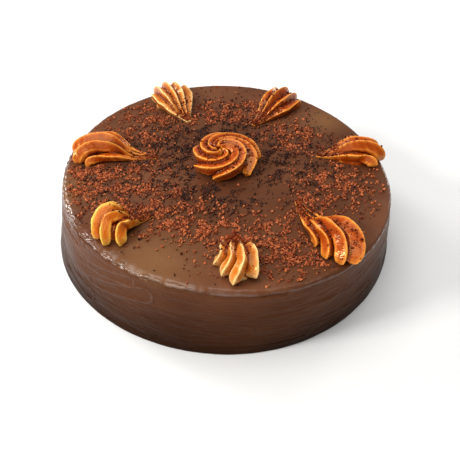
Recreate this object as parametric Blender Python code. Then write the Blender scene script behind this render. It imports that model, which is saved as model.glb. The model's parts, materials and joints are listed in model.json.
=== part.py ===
"""Sachertorte: a round chocolate cake under a dark glaze, seven piped cream
shells around its rim, a piped rosette in the middle and chocolate crumbs on top.

Metres, +Z up. The origin is the centre of the flat underside and the
photographed front faces -Y. The cake is one uncut solid with the largest crumbs
fused to its top, and every piped piece is a solid of its own, resting on the
glaze with a thin gap. Sizes of the piped pieces are given in millimetres.
"""
import math
import random

import bmesh
import bpy
from mathutils import Vector
from mathutils.bvhtree import BVHTree

MM = 0.001

# Driving dimensions of the cake
TOP_RADIUS = 0.115
FOOT_RADIUS = 0.1213
HEIGHT = 0.0567
SHOULDER = 0.0028
FOOT_BEVEL = 0.0008
GAP = 0.0004

# Outlines that aren't quite round: (waves around the cake, cosine share, sine share)
TOP_LOBES = ((2, -0.001, -0.031), (3, -0.006, -0.009))
FOOT_LOBES = ((2, 0.033, 0.005), (3, -0.008, 0.009))

# Waves that the spatula left in the side: height, then (around, up, phase, share)
SIDE_WAVE = 0.00035
SIDE_WAVES = ((5.0, 2.4, 0.0, 1.0), (9.0, -3.0, 1.0, 0.6))
# How much wider the rounded rim is at the left, where glaze was pushed over it
SHOULDER_SPREAD = 0.45

# Resolution of the cake's side
SIDE_SEGMENTS = 84
SIDE_LEVELS = (0.10, 0.38, 0.66, 0.86)
SHOULDER_STEPS = 4

# Piped shells, in millimetres and degrees. Each has the angle that its head points
# to, the place of its tail tip on the top, the share of its length that is thin
# neck, and a plump core (side, length, height, half width) under its ridges. A
# ridge is (side at the crest, side at the end, reach, rise, girth, curl): sideways
# distances from the heading line, the length from the tail tip, the height of its
# centre line, its half thickness, and how far past straight down its end turns.
SHELLS = {
    "shell_1": {
        "heading": -86.0, "tail": (6.0, -66.0), "neck": 0.06,
        "core": (0.0, 39.0, 7.5, 9.5),
        "ridges": ((2.0, -4.2, 43.5, 10.2, 3.2, 0.0),
                   (7.6, 7.4, 39.5, 7.0, 4.0, 0.0),
                   (-3.4, -9.6, 36.5, 8.0, 3.2, 0.0),
                   (-7.6, -13.0, 26.0, 4.6, 3.0, 20.0)),
    },
    "shell_2": {
        "heading": -149.0, "tail": (-48.5, -49.0), "neck": 0.34,
        "core": (-1.0, 35.0, 8.0, 9.0),
        "ridges": ((-11.0, -6.5, 36.0, 9.6, 3.3, 0.0),
                   (-7.5, 1.5, 39.5, 12.0, 3.2, 0.0),
                   (-2.5, 9.0, 37.5, 9.8, 3.0, 0.0),
                   (3.6, 13.0, 29.0, 6.0, 3.4, 15.0)),
    },
    "shell_3": {
        "heading": 177.0, "tail": (-49.5, 13.5), "neck": 0.36,
        "core": (-4.0, 55.0, 8.0, 11.0),
        "ridges": ((-1.0, 7.5, 57.5, 9.0, 3.7, 10.0),
                   (-8.2, -3.6, 60.0, 9.2, 4.0, 15.0),
                   (-14.6, -11.4, 57.0, 6.0, 4.0, 15.0),
                   (5.0, 10.0, 49.0, 4.2, 2.6, 20.0)),
    },
    "shell_4": {
        "heading": 116.6, "tail": (-28.0, 60.0), "neck": 0.14,
        "core": (-0.5, 46.0, 8.0, 11.0),
        "ridges": ((-11.0, -12.0, 43.0, 5.4, 3.5, 10.0),
                   (-5.4, -6.0, 47.5, 9.0, 3.2, 15.0),
                   (0.4, 0.6, 50.0, 10.0, 3.2, 20.0),
                   (6.4, 7.5, 48.5, 8.6, 3.2, 20.0),
                   (10.6, 11.2, 42.5, 4.6, 3.5, 20.0),
                   (8.6, 11.6, 31.0, 3.0, 2.8, 30.0)),
    },
    "shell_5": {
        "heading": 52.5, "tail": (22.0, 55.0), "neck": 0.08,
        "core": (-0.5, 47.0, 7.5, 10.5),
        "ridges": ((6.8, 8.5, 47.0, 7.0, 3.4, 10.0),
                   (0.8, 1.6, 50.0, 9.6, 3.4, 15.0),
                   (-5.6, -6.0, 49.0, 7.6, 3.3, 15.0),
                   (-10.4, -11.6, 45.0, 3.6, 3.4, 20.0)),
    },
    "shell_6": {
        "heading": -3.0, "tail": (66.8, 15.4), "neck": 0.08,
        "core": (0.5, 43.0, 7.5, 10.0),
        "ridges": ((8.4, 8.0, 43.5, 6.0, 4.1, 15.0),
                   (1.2, -1.5, 46.5, 9.0, 3.8, 15.0),
                   (-5.6, -10.8, 42.0, 4.6, 3.1, 0.0)),
    },
    "shell_7": {
        "heading": -62.0, "tail": (48.2, -35.0), "neck": 0.36,
        "core": (0.0, 58.0, 8.0, 9.5),
        "ridges": ((8.4, -2.0, 66.5, 7.0, 4.8, 0.0),
                   (-0.6, -8.0, 63.0, 9.8, 3.8, 0.0),
                   (-6.4, -13.0, 54.5, 7.4, 3.1, 0.0),
                   (-9.0, -11.0, 40.5, 4.4, 2.7, 20.0)),
    },
}
# A ridge is highest at this share of its reach, which is this share of its rings;
# it is full at this share of the way to there, and rounds off over the last part
CREST_AT = 0.70
CREST_RINGS = 0.60
FULL_AT = 0.90
ROUND_OFF = 0.15
# Half thickness of the tail tip, and how far the ridges lie apart there
TAIL_GIRTH = 0.7
TAIL_SPREAD = 0.12
# Cross-section of a ridge against its girth: crest, foot, width, narrowing to the crest
BLADE_CREST = 1.32
BLADE_FOOT = 1.0
BLADE_WIDTH = 1.0
BLADE_NARROWING = 0.45
END_CAP = 0.6
# Mesh of the plump core
CORE_RINGS = 7
CORE_SIDES = 12

# Piped rosette (mm): foot centre, swirl centre, radii, height and its ridges
ROSETTE_FOOT = (1.0, 9.0)
ROSETTE_EYE = (-4.0, 8.0)
ROSETTE_RADIUS = 21.5
ROSETTE_HEIGHT = 12.5
ROSETTE_EDGE = 1.6
ROSETTE_HOLE = 2.6
# Plump body under the ridges: radius, depth of its foot, height of its top, rings, sides
ROSETTE_CORE = (16.2, -1.5, 10.2, 5, 16)
# Its ridges: (angle of the outer end, twist to the eye, girth, height against the rest)
ROSETTE_RIDGES = (
    (201.0, 218.0, 4.8, 0.98),
    (249.0, 212.0, 4.9, 1.08),
    (312.0, 205.0, 5.3, 0.92),
    (4.0, 205.0, 5.2, 1.0),
    (74.0, 205.0, 4.8, 1.02),
    (142.0, 205.0, 4.4, 0.95),
)

# Resolution of every ridge
RIDGE_SIDES = 8
RIDGE_RINGS = 10
ROSETTE_RINGS = 13

# Crumbs fused to the top: number, half sizes (mm), spacing and clearances (mm)
CRUMB_COUNT = 172
CRUMB_SIZE = (0.9, 1.35)
CRUMB_SPACING = 3.6
CRUMB_CLEAR_RIDGE = 2.6
CRUMB_CLEAR_RIM = 8.0
CRUMB_SEED = 11
# Where crumbs lie thickest (mm): (x, y, spread along x, spread along y, share)
CRUMB_DRIFTS = (
    (-78.0, -14.0, 30.0, 20.0, 1.0),
    (-38.0, -42.0, 26.0, 20.0, 1.0),
    (28.0, -74.0, 34.0, 18.0, 1.0),
    (76.0, -22.0, 22.0, 24.0, 0.8),
    (2.0, 78.0, 32.0, 14.0, 0.7),
    (56.0, 36.0, 22.0, 16.0, 0.6),
    (-66.0, 54.0, 24.0, 18.0, 0.5),
    (-34.0, 22.0, 20.0, 26.0, 0.5),
)

# Points closer than this are one point; cream is melted at the voxel size, then
# thinned to these triangles, with a few more where that leaves an open edge
MERGE = 1e-6
CREAM_VOXEL = 0.00045
SHELL_TRIANGLES = 680
ROSETTE_TRIANGLES = 1400
THIN_TRIES = 12
THIN_STEP = 14

# Finishes: colour, roughness, metallic
GLAZE = ((0.105, 0.052, 0.034), 0.42, 0.0)
CREAM = ((0.80, 0.36, 0.10), 0.48, 0.0)


def clear_scene():
    for obj in list(bpy.data.objects):
        bpy.data.objects.remove(obj, do_unlink=True)


def material(name, finish):
    colour, roughness, metallic = finish
    mat = bpy.data.materials.new(name)
    mat.use_nodes = True
    bsdf = mat.node_tree.nodes["Principled BSDF"]
    bsdf.inputs["Base Color"].default_value = (*colour, 1.0)
    bsdf.inputs["Roughness"].default_value = roughness
    bsdf.inputs["Metallic"].default_value = metallic
    return mat


def lobed(radius, lobes, angle):
    swell = sum(c * math.cos(n * angle) + s * math.sin(n * angle) for n, c, s in lobes)
    return radius * (1.0 + swell)


def side_relief(angle, level):
    """Hand-spread waviness of the glazed side, in metres, 0 at foot and shoulder."""
    sweep = sum(share * math.sin(around * angle + up * level + phase)
                for around, up, phase, share in SIDE_WAVES)
    return SIDE_WAVE * sweep * math.sin(math.pi * level)


def shoulder_size(angle):
    return SHOULDER * (1.0 - SHOULDER_SPREAD * math.cos(angle))


def cake_rings(grow):
    """Rings of (radius, height) rules from the foot up; grow offsets the whole skin."""
    def foot(angle):
        return lobed(FOOT_RADIUS, FOOT_LOBES, angle) - FOOT_BEVEL + grow, -grow

    def side(level):
        def ring(angle):
            height = level * (HEIGHT - shoulder_size(angle))
            top = lobed(TOP_RADIUS, TOP_LOBES, angle)
            base = lobed(FOOT_RADIUS, FOOT_LOBES, angle)
            radius = base + (top - base) * level + side_relief(angle, level)
            return radius + grow, max(height, FOOT_BEVEL)
        return ring

    def shoulder(turn):
        def ring(angle):
            size = shoulder_size(angle)
            top = lobed(TOP_RADIUS, TOP_LOBES, angle)
            radius = top - size + (size + grow) * math.cos(turn)
            return radius, HEIGHT - size + (size + grow) * math.sin(turn)
        return ring

    rings = [foot, side(0.0)]
    rings += [side(level) for level in SIDE_LEVELS]
    rings += [shoulder(0.5 * math.pi * k / SHOULDER_STEPS) for k in range(SHOULDER_STEPS + 1)]
    return rings


def skin(name, rings, pole_start=None, pole_end=None):
    """Closed mesh over rings of equal length, with a face or a pole at each end."""
    bm = bmesh.new()
    rows = [[bm.verts.new(point) for point in ring] for ring in rings]
    count = len(rows[0])
    for low, high in zip(rows, rows[1:]):
        for k in range(count):
            n = (k + 1) % count
            bm.faces.new((low[k], low[n], high[n], high[k]))
    for row, pole, flip in ((rows[0], pole_start, True), (rows[-1], pole_end, False)):
        loop = list(reversed(row)) if flip else row
        if pole is None:
            bm.faces.new(loop)
            continue
        tip = bm.verts.new(pole)
        for k in range(count):
            bm.faces.new((loop[k], loop[(k + 1) % count], tip))
    bmesh.ops.recalc_face_normals(bm, faces=bm.faces)
    mesh = bpy.data.meshes.new(name)
    bm.to_mesh(mesh)
    bm.free()
    obj = bpy.data.objects.new(name, mesh)
    bpy.context.scene.collection.objects.link(obj)
    return obj


def cake_body(name, grow=0.0):
    rings = []
    for rule in cake_rings(grow):
        ring = []
        for k in range(SIDE_SEGMENTS):
            angle = 2.0 * math.pi * k / SIDE_SEGMENTS
            radius, height = rule(angle)
            ring.append((radius * math.cos(angle), radius * math.sin(angle), height))
        rings.append(ring)
    return skin(name, rings)


def ease(share):
    share = min(max(share, 0.0), 1.0)
    return share * share * (3.0 - 2.0 * share)


def ridge_point(ridge, neck, share):
    """Centre of a shell ridge in (along, sideways, up), mm, from tail tip to curled end."""
    crest_side, end_side, reach, rise, girth, curl = ridge
    crest = CREST_AT * reach
    nose = reach - END_CAP * girth
    if share < CREST_RINGS:
        run = share / CREST_RINGS
        opening = ease((run - neck) / (FULL_AT - neck))
        along = crest * run
        up = TAIL_GIRTH + (rise - TAIL_GIRTH) * opening
        sideways = crest_side * (TAIL_SPREAD + (1.0 - TAIL_SPREAD) * min(run / FULL_AT, 1.0))
        return Vector((along, sideways, up))
    turn = (share - CREST_RINGS) / (1.0 - CREST_RINGS)
    angle = turn * math.radians(90.0 + curl)
    along = crest + (nose - crest) * math.sin(angle)
    up = girth * 0.4 + (rise - girth * 0.4) * math.cos(angle)
    sideways = crest_side + (end_side - crest_side) * ease(turn)
    return Vector((along, sideways, up))


def ridge_girth(ridge, neck, share):
    girth = ridge[4]
    opening = ease((share / CREST_RINGS - neck) / (FULL_AT - neck))
    swell = TAIL_GIRTH + (girth - TAIL_GIRTH) * opening
    tip = max(share - 1.0 + ROUND_OFF, 0.0) / ROUND_OFF
    return swell * math.sqrt(max(1.0 - 0.75 * tip * tip, 0.0))


def blade(centre, along, crest, girth):
    """One ring of a ridge: a rounded blade, narrow at its crest."""
    along.normalize()
    crest = (crest - along * crest.dot(along)).normalized()
    across = along.cross(crest)
    ring = []
    for k in range(RIDGE_SIDES):
        turn = 2.0 * math.pi * k / RIDGE_SIDES
        up = math.cos(turn)
        reach_up = girth * (BLADE_CREST if up > 0.0 else BLADE_FOOT) * up
        width = girth * BLADE_WIDTH * (1.0 - BLADE_NARROWING * max(up, 0.0))
        reach_side = width * math.sin(turn)
        ring.append(centre + crest * reach_up + across * reach_side)
    return ring


def tube(name, path, girths, hearts, place):
    """Ridge through path points; place turns local millimetres into metres."""
    rings = []
    for k, centre in enumerate(path):
        ahead = path[min(k + 1, len(path) - 1)]
        behind = path[max(k - 1, 0)]
        rings.append(blade(centre, ahead - behind, centre - hearts[k], girths[k]))
    start = path[0] - (path[1] - path[0]).normalized() * girths[0] * END_CAP
    end = path[-1] + (path[-1] - path[-2]).normalized() * girths[-1] * END_CAP
    rings = [[place(point) for point in ring] for ring in rings]
    return skin(name, rings, place(start), place(end))


def shell_place(shell):
    heading = math.radians(shell["heading"])
    forward = Vector((math.cos(heading), math.sin(heading), 0.0))
    left = Vector((-forward.y, forward.x, 0.0))
    origin = Vector((*shell["tail"], 0.0))

    def place(point):
        world = origin + forward * point.x + left * point.y
        return Vector((world.x, world.y, point.z)) * MM + Vector((0.0, 0.0, HEIGHT))
    return place


def shell_ridge(name, shell, ridge):
    shares = [k / (RIDGE_RINGS - 1) for k in range(RIDGE_RINGS)]
    path = [ridge_point(ridge, shell["neck"], share) for share in shares]
    girths = [ridge_girth(ridge, shell["neck"], share) for share in shares]
    core_side = shell["core"][0]
    heart_along = 0.55 * ridge[2]
    hearts = [Vector((min(p.x, heart_along), core_side * 0.6, -2.0)) for p in path]
    return tube(name, path, girths, hearts, shell_place(shell))


def shell_core(name, shell):
    """Plump half-sunk body under the ridges, from behind the tail to short of the ends."""
    side, length, height, half_width = shell["core"]
    place = shell_place(shell)
    start = (0.1 + shell["neck"]) * length
    rings = []
    for k in range(1, CORE_RINGS):
        turn = math.pi * k / CORE_RINGS
        share = 0.5 * (1.0 - math.cos(turn))
        swell = math.sin(turn) ** 0.8 * (0.45 + 0.55 * ease(share * 1.6))
        ring = []
        for n in range(CORE_SIDES):
            angle = 2.0 * math.pi * n / CORE_SIDES
            ring.append(place(Vector((start + (length - start) * share,
                                      side * ease(share * 1.5) + half_width * swell * math.cos(angle),
                                      height * swell * math.sin(angle)))))
        rings.append(ring)
    tail = place(Vector((start, 0.0, 0.0)))
    head = place(Vector((length, side, 0.0)))
    return skin(name, rings, tail, head)


def rosette_ridge(name, ridge):
    """A rope of cream that winds from the foot up and in towards the eye."""
    start_angle, twist, girth, lift = ridge
    foot = Vector((*ROSETTE_FOOT, 0.0))
    eye = Vector((*ROSETTE_EYE, 0.0))
    path = []
    girths = []
    hearts = []
    for k in range(ROSETTE_RINGS):
        share = k / (ROSETTE_RINGS - 1)
        angle = math.radians(start_angle + twist * share ** 1.1)
        radius = (ROSETTE_RADIUS - girth * 0.55) * (1.0 - share) ** 0.85 + ROSETTE_HOLE
        centre = foot.lerp(eye, share)
        climb = math.sin(0.5 * math.pi * share ** 0.7)
        up = ROSETTE_EDGE + (ROSETTE_HEIGHT * lift - ROSETTE_EDGE) * climb
        out = Vector((math.cos(angle), math.sin(angle), 0.0))
        path.append(centre + out * radius + Vector((0.0, 0.0, up)))
        tip = 1.0 - 0.4 * max(0.0, ROUND_OFF - share) / ROUND_OFF
        girths.append(girth * (1.0 - 0.66 * share) * tip)
        hearts.append(centre + out * radius * 0.55 + Vector((0.0, 0.0, up - 6.0)))
    raised = Vector((0.0, 0.0, HEIGHT))
    return tube(name, path, girths, hearts, lambda point: point * MM + raised)


def rosette_core(name):
    """Dome under the ridges, whose rings drift from the foot's centre to the eye."""
    wide, low, high, steps, sides = ROSETTE_CORE
    foot = Vector((*ROSETTE_FOOT, HEIGHT / MM))
    eye = Vector((*ROSETTE_EYE, HEIGHT / MM))
    rings = []
    for k in range(steps):
        turn = 0.5 * math.pi * k / steps
        centre = foot.lerp(eye, k / steps)
        radius = wide * math.cos(turn)
        height = low + (high - low) * math.sin(turn)
        ring = []
        for n in range(sides):
            angle = 2.0 * math.pi * n / sides
            offset = Vector((radius * math.cos(angle), radius * math.sin(angle), height))
            ring.append((centre + offset) * MM)
        rings.append(ring)
    top = (eye + Vector((0.0, 0.0, high))) * MM
    return skin(name, rings, None, top)


def apply_modifiers(obj):
    depsgraph = bpy.context.evaluated_depsgraph_get()
    result = bpy.data.meshes.new_from_object(obj.evaluated_get(depsgraph))
    obj.modifiers.clear()
    old = obj.data
    obj.data = result
    bpy.data.meshes.remove(old)


def apply_boolean(obj, operation, other=None, group=None):
    modifier = obj.modifiers.new("fuse", "BOOLEAN")
    modifier.operation = operation
    modifier.solver = "EXACT"
    if group is None:
        modifier.operand_type = "OBJECT"
        modifier.object = other
    else:
        modifier.operand_type = "COLLECTION"
        modifier.collection = group
    apply_modifiers(obj)


def fuse(obj, pieces):
    """Boolean union of pieces into obj; the pieces are removed afterwards."""
    group = bpy.data.collections.new("fusing")
    bpy.context.scene.collection.children.link(group)
    for piece in pieces:
        bpy.context.scene.collection.objects.unlink(piece)
        group.objects.link(piece)
    apply_boolean(obj, "UNION", group=group)
    for piece in pieces:
        bpy.data.objects.remove(piece, do_unlink=True)
    bpy.data.collections.remove(group)


def keep_largest(obj):
    """Merge doubled points, then drop every scrap that isn't joined to the main body."""
    bm = bmesh.new()
    bm.from_mesh(obj.data)
    bmesh.ops.remove_doubles(bm, verts=bm.verts, dist=MERGE)
    islands = []
    seen = set()
    for vert in bm.verts:
        if vert in seen:
            continue
        stack = [vert]
        island = set()
        while stack:
            current = stack.pop()
            if current in island:
                continue
            island.add(current)
            stack.extend(edge.other_vert(current) for edge in current.link_edges)
        seen |= island
        islands.append(island)
    islands.sort(key=len, reverse=True)
    for island in islands[1:]:
        bmesh.ops.delete(bm, geom=list(island), context="VERTS")
    bmesh.ops.triangulate(bm, faces=bm.faces)
    bm.to_mesh(obj.data)
    bm.free()


def finish(obj, mat):
    obj.data.materials.clear()
    obj.data.materials.append(mat)
    obj.data.shade_smooth()
    obj.data.set_sharp_from_angle(angle=math.radians(40.0))


def is_closed(obj):
    bm = bmesh.new()
    bm.from_mesh(obj.data)
    closed = all(edge.is_manifold for edge in bm.edges) and all(vert.is_manifold for vert in bm.verts)
    bm.free()
    return closed


def melt(pieces):
    """One skin over overlapping ridges, as soft cream closes up where ropes touch."""
    bm = bmesh.new()
    for piece in pieces:
        bm.from_mesh(piece.data)
    body = pieces[0]
    bm.to_mesh(body.data)
    bm.free()
    for piece in pieces[1:]:
        bpy.data.objects.remove(piece, do_unlink=True)
    modifier = body.modifiers.new("melt", "REMESH")
    modifier.mode = "VOXEL"
    modifier.voxel_size = CREAM_VOXEL
    apply_modifiers(body)
    keep_largest(body)
    return body


def thin(obj, triangles):
    """Collapse short edges until the piece has about the given number of triangles."""
    modifier = obj.modifiers.new("thin", "DECIMATE")
    modifier.ratio = min(1.0, triangles / len(obj.data.polygons))
    apply_modifiers(obj)


def piped(name, pieces, mould, mat, triangles):
    """Melt the ridges of one piped piece together, cut its underside to the glaze, thin it.

    Where thinning leaves an open edge, it is done again with a few more triangles.
    """
    body = melt(pieces)
    apply_boolean(body, "DIFFERENCE", other=mould)
    keep_largest(body)
    full = body.data
    for attempt in range(THIN_TRIES):
        body.data = full.copy()
        thin(body, triangles + attempt * THIN_STEP)
        keep_largest(body)
        if is_closed(body):
            break
    bpy.data.meshes.remove(full)
    body.name = name
    body.data.name = name
    finish(body, mat)
    return body


def drift_share(x, y):
    """How thickly crumbs lie at a point (mm), from 0 to 1."""
    return min(1.0, sum(share * math.exp(-((x - cx) / sx) ** 2 - ((y - cy) / sy) ** 2)
                        for cx, cy, sx, sy, share in CRUMB_DRIFTS))


def cream_trees(pieces):
    """Search trees over the piped pieces, to ask how near a point is to any of them."""
    trees = []
    for piece in pieces:
        points = [vert.co for vert in piece.data.vertices]
        faces = [tuple(face.vertices) for face in piece.data.polygons]
        trees.append(BVHTree.FromPolygons(points, faces))
    return trees


def crumb_places(pieces):
    """Seeded draw of crumb places, denser in the drifts, clear of cream and rim."""
    draw = random.Random(CRUMB_SEED)
    trees = cream_trees(pieces)
    places = []
    limit = TOP_RADIUS / MM - CRUMB_CLEAR_RIM
    while len(places) < CRUMB_COUNT:
        x = draw.uniform(-limit, limit)
        y = draw.uniform(-limit, limit)
        if math.hypot(x, y) > limit or draw.random() > drift_share(x, y):
            continue
        if any(math.hypot(x - a, y - b) < CRUMB_SPACING for a, b in places):
            continue
        spot = Vector((x * MM, y * MM, HEIGHT + GAP))
        if any(tree.find_nearest(spot, CRUMB_CLEAR_RIDGE * MM)[0] for tree in trees):
            continue
        places.append((x, y))
    return places


def crumb(name, x, y, draw):
    """A broken grain: a squashed, turned icosahedron set into the glaze."""
    bm = bmesh.new()
    size = draw.uniform(*CRUMB_SIZE) * MM
    bmesh.ops.create_icosphere(bm, subdivisions=1, radius=1.0)
    stretch = Vector((size * draw.uniform(0.8, 1.25), size * draw.uniform(0.7, 1.0), size * 0.75))
    turn = draw.uniform(0.0, math.pi)
    for vert in bm.verts:
        point = Vector((vert.co.x * stretch.x, vert.co.y * stretch.y, vert.co.z * stretch.z))
        across = point.x * math.cos(turn) - point.y * math.sin(turn)
        along = point.x * math.sin(turn) + point.y * math.cos(turn)
        vert.co = Vector((x * MM + across, y * MM + along, HEIGHT + point.z + 0.2 * size))
    mesh = bpy.data.meshes.new(name)
    bm.to_mesh(mesh)
    bm.free()
    obj = bpy.data.objects.new(name, mesh)
    bpy.context.scene.collection.objects.link(obj)
    return obj


def build():
    clear_scene()
    glaze = material("chocolate_glaze", GLAZE)
    cream = material("piped_cream", CREAM)
    mould = cake_body("mould", grow=GAP)
    pieces = []
    for name, shell in SHELLS.items():
        parts = [shell_core("core", shell)]
        parts += [shell_ridge("ridge", shell, ridge) for ridge in shell["ridges"]]
        pieces.append(piped(name, parts, mould, cream, SHELL_TRIANGLES))
    parts = [rosette_core("core")]
    parts += [rosette_ridge("ridge", ridge) for ridge in ROSETTE_RIDGES]
    pieces.append(piped("rosette", parts, mould, cream, ROSETTE_TRIANGLES))
    bpy.data.objects.remove(mould, do_unlink=True)

    cake = cake_body("cake")
    draw = random.Random(CRUMB_SEED + 1)
    places = crumb_places(pieces)
    fuse(cake, [crumb(f"crumb_{k}", x, y, draw) for k, (x, y) in enumerate(places)])
    keep_largest(cake)
    finish(cake, glaze)


build()
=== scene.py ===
# %% [markdown]
# # A chocolate torte with piped cream
#
# This lesson dresses a finished solid model of a round torte. The solids stay as
# they are: they carry the sizes and the places. Here every one of them gets a finer
# skin in the same place: a glaze with the marks of the spatula, cream with the
# ridges of the star tip, and thousands of grains of grated chocolate.

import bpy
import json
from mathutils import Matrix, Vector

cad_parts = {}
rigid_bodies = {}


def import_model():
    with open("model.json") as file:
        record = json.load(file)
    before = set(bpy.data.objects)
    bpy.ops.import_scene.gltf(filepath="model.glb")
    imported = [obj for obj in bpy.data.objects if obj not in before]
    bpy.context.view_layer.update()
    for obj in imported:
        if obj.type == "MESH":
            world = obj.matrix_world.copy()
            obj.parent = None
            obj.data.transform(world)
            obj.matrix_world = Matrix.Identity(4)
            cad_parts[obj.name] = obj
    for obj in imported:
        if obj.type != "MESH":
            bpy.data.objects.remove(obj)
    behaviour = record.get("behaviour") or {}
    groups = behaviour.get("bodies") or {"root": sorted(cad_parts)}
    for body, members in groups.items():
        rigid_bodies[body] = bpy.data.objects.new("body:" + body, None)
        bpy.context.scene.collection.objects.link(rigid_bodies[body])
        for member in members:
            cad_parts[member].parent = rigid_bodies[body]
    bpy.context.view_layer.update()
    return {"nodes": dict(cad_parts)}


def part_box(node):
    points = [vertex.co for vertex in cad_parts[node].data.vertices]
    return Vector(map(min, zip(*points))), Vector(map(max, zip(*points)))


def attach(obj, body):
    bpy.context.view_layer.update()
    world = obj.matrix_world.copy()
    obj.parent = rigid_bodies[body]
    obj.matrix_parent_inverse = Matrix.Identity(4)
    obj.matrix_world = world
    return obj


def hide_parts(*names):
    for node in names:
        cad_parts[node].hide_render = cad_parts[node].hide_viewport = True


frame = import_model()
print("solids:", sorted(frame["nodes"]))

# %% Tools
import json
import math
import random

import bmesh
import bpy
import numpy as np
from mathutils import Matrix, Vector
from mathutils.bvhtree import BVHTree

MM = 0.001
scene = bpy.context.scene


def link_object(name, data):
    """A new object for a mesh, light or camera, placed in the scene."""
    obj = bpy.data.objects.new(name, data)
    scene.collection.objects.link(obj)
    return obj


print("Blender", bpy.app.version_string)

# %% [markdown]
# ## The camera
#
# The photograph looks down on the cake from the front at about 44 degrees. A camera
# matrix is built from three turns: yaw to the side, pitch down, and a little roll.
# Writing the matrix from its axes avoids the order of Euler angles, which is an easy
# thing to get wrong.

# %% Camera
CAMERA_PLACE = Vector((0.0, -0.3483, 0.3340))
CAMERA_PITCH = math.radians(44.05)
CAMERA_YAW = math.radians(0.586)
CAMERA_ROLL = math.radians(0.136)
CAMERA_LENS = 48.52


def camera_matrix(place, pitch, yaw, roll):
    """World matrix of a camera that looks down by pitch, turned by yaw towards +X."""
    ahead = Vector((math.sin(yaw) * math.cos(pitch), math.cos(yaw) * math.cos(pitch), -math.sin(pitch)))
    right = Vector((math.cos(yaw), -math.sin(yaw), 0.0))
    up = right.cross(ahead)
    rolled_right = math.cos(roll) * right + math.sin(roll) * up
    rolled_up = math.cos(roll) * up - math.sin(roll) * right
    axes = Matrix((rolled_right, rolled_up, -ahead)).transposed()
    return Matrix.Translation(place) @ axes.to_4x4()


camera_data = bpy.data.cameras.new("photo_camera")
camera_data.lens = CAMERA_LENS
camera_data.sensor_width = 36.0
camera_data.clip_start = 0.01
camera = link_object("photo_camera", camera_data)
camera.matrix_world = camera_matrix(CAMERA_PLACE, CAMERA_PITCH, CAMERA_YAW, CAMERA_ROLL)
scene.camera = camera
print("camera at", tuple(round(v, 3) for v in CAMERA_PLACE))

# %% [markdown]
# ## Writing node trees
#
# Materials, the world and Geometry Nodes are all trees of nodes. Written link by link
# they take pages, so a few helpers add a node and fill its inputs in one call: an
# input that is given a socket is linked to it, and any other value is set on it.


# %% Node helpers
def fill(tree, node, inputs):
    """Links each input to the socket given for it, or sets it to the value."""
    for key, value in dict(inputs).items():
        if isinstance(value, bpy.types.NodeSocket):
            tree.links.new(value, node.inputs[key])
        else:
            node.inputs[key].default_value = value


def add_node(tree, kind, inputs=(), **options):
    node = tree.nodes.new(kind)
    for option, value in options.items():
        setattr(node, option, value)
    fill(tree, node, inputs)
    return node


def maths(tree, operation, *values):
    return add_node(tree, "ShaderNodeMath", enumerate(values), operation=operation).outputs[0]


def map_range(tree, value, from_min, from_max, to_min=0.0, to_max=1.0, **options):
    inputs = {"Value": value, "From Min": from_min, "From Max": from_max,
              "To Min": to_min, "To Max": to_max}
    return add_node(tree, "ShaderNodeMapRange", inputs, **options).outputs["Result"]


def new_material(name):
    """A material, its tree and its Principled shader."""
    mat = bpy.data.materials.new(name)
    mat.use_nodes = True
    return mat, mat.node_tree, mat.node_tree.nodes["Principled BSDF"]


print("node helpers ready")

# %% [markdown]
# ## Floor and light
#
# A studio shot on white needs a pale floor that is larger than the view, and soft
# boxes. The big one overhead lights the whole cake, the small ones at the left put
# the bright line on its rim, and the others fill in. The world is dim as a light, or
# it would wash out the dark glaze, yet the camera has to see it pale. A Light Path
# node tells the two apart.

# %% Floor
FLOOR_SIZE = 4.0
FLOOR_COLOUR = (0.84, 0.84, 0.835, 1.0)
FLOOR_ROUGHNESS = 0.9
corners = [(x * FLOOR_SIZE, y * FLOOR_SIZE, 0.0)
           for x, y in ((-0.5, -0.5), (0.5, -0.5), (0.5, 0.5), (-0.5, 0.5))]
floor_mesh = bpy.data.meshes.new("floor")
floor_mesh.from_pydata(corners, [], [(0, 1, 2, 3)])
floor_finish, floor_tree, floor_shader = new_material("studio_floor")
fill(floor_tree, floor_shader, {"Base Color": FLOOR_COLOUR, "Roughness": FLOOR_ROUGHNESS})
floor_mesh.materials.append(floor_finish)
floor = link_object("floor", floor_mesh)
print("floor", FLOOR_SIZE, "m across")

# %% Lights
WORLD_COLOUR = (1.0, 1.0, 1.0, 1.0)
WORLD_STRENGTH = 0.27
WORLD_SEEN = 0.9
LIGHTS_AIM = Vector((0.0, 0.0, 0.04))
# Soft boxes: name, place, size, watts, colour
SOFT_BOXES = (
    ("ceiling", (-0.3, 0.2, 2.2), 2.2, 39.0, (1.0, 0.99, 0.97)),
    ("window", (-1.6, 1.3, 1.3), 0.6, 17.0, (1.0, 0.99, 0.97)),
    ("left_strip", (-1.3, -0.45, 0.95), 0.4, 17.0, (1.0, 0.98, 0.95)),
    ("right_back", (1.1, 1.5, 0.75), 0.5, 6.0, (1.0, 0.99, 0.97)),
    ("front_fill", (-0.7, -1.6, 1.1), 1.0, 4.0, (1.0, 0.99, 0.97)),
)

for name, place, size, watts, colour in SOFT_BOXES:
    lamp = bpy.data.lights.new(name, "AREA")
    lamp.energy = watts
    lamp.size = size
    lamp.color = colour
    soft_box = link_object(name, lamp)
    soft_box.location = place
    soft_box.rotation_euler = (LIGHTS_AIM - Vector(place)).to_track_quat("-Z", "Y").to_euler()

world = bpy.data.worlds.new("studio")
world.use_nodes = True
sky = world.node_tree
ray = add_node(sky, "ShaderNodeLightPath").outputs["Is Camera Ray"]
strength = map_range(sky, ray, 0.0, 1.0, WORLD_STRENGTH, WORLD_SEEN)
fill(sky, sky.nodes["Background"], {"Color": WORLD_COLOUR, "Strength": strength})
scene.world = world
scene.view_settings.view_transform = "Standard"
print("lights:", [row[0] for row in SOFT_BOXES])

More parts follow.
